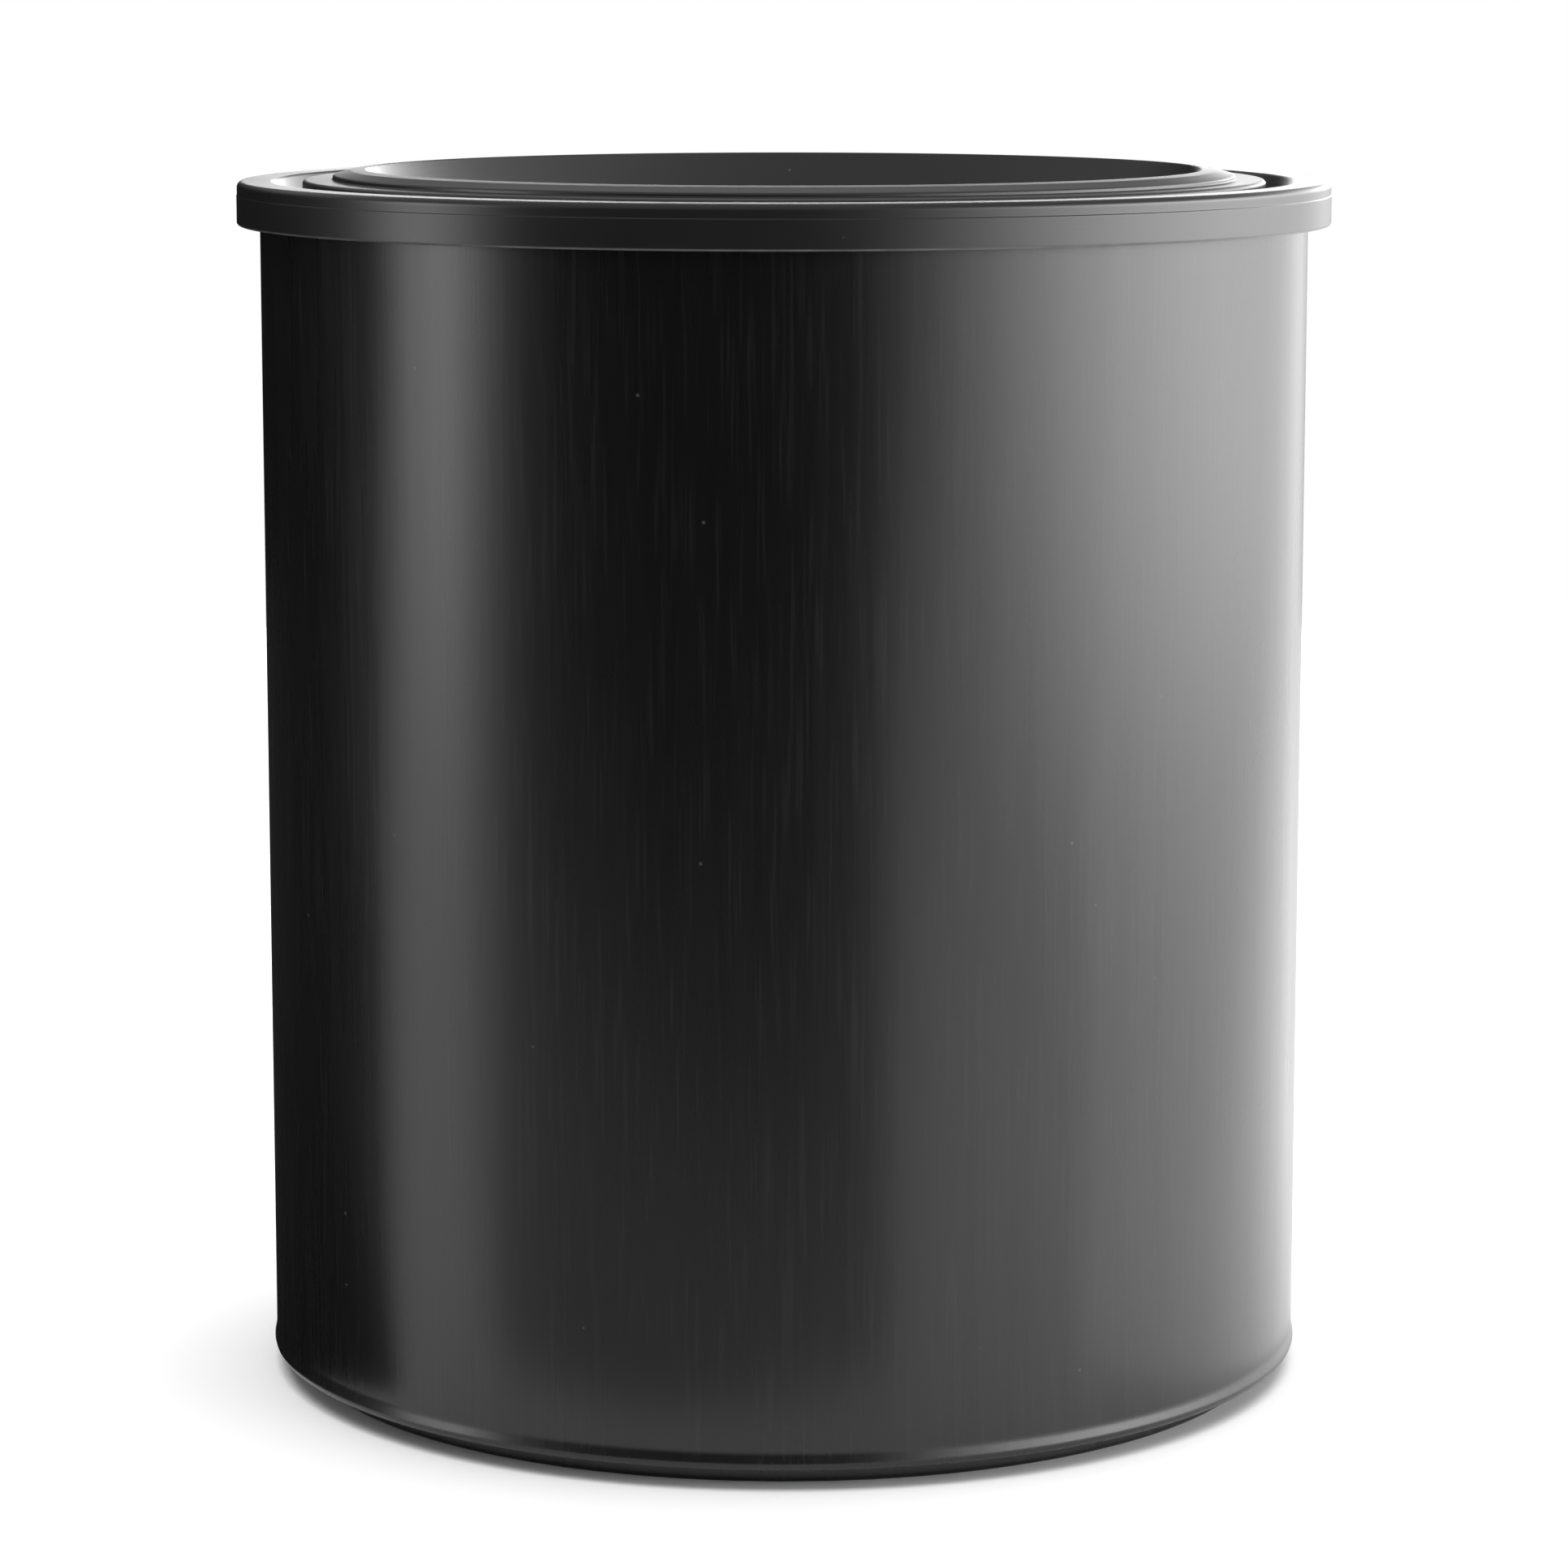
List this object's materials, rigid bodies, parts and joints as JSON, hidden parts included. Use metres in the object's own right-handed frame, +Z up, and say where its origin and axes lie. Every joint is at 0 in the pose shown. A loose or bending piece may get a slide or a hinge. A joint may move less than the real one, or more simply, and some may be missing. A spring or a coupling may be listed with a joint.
{
  "type": "candle tin",
  "caption": "Round straight-sided container moulded in black plastic, with a stepped foot, a ribbed clip-fit mouth ring and a press-in plug lid with a deep stepped recess.",
  "frame": {"origin": "centre of the foot ring, on the surface that the can stands on", "axes": "+Z up along the can's axis, through the lid; +X and +Y are any two directions square to it"},
  "size_m": [0.1128, 0.1128, 0.1253],
  "materials": {
    "can_plastic": "satin black moulded plastic with fine vertical draw lines on its wall",
    "ring_plastic": "satin black moulded plastic, smooth, with a thin light parting line along the skirt's lower edge",
    "lid_plastic": "matte black moulded plastic, smooth on the bead and finely sand-textured on the centre panel"
  },
  "bodies": {
    "can": {"can_body": "can_plastic", "mouth_ring": "ring_plastic"},
    "lid": {"plug_lid": "lid_plastic"}
  },
  "joints": [
    {"name": "lid_lift", "type": "slide", "parent": "can", "child": "lid", "axis": [0, 0, 1], "range_m": [0, 0.06]}
  ]
}
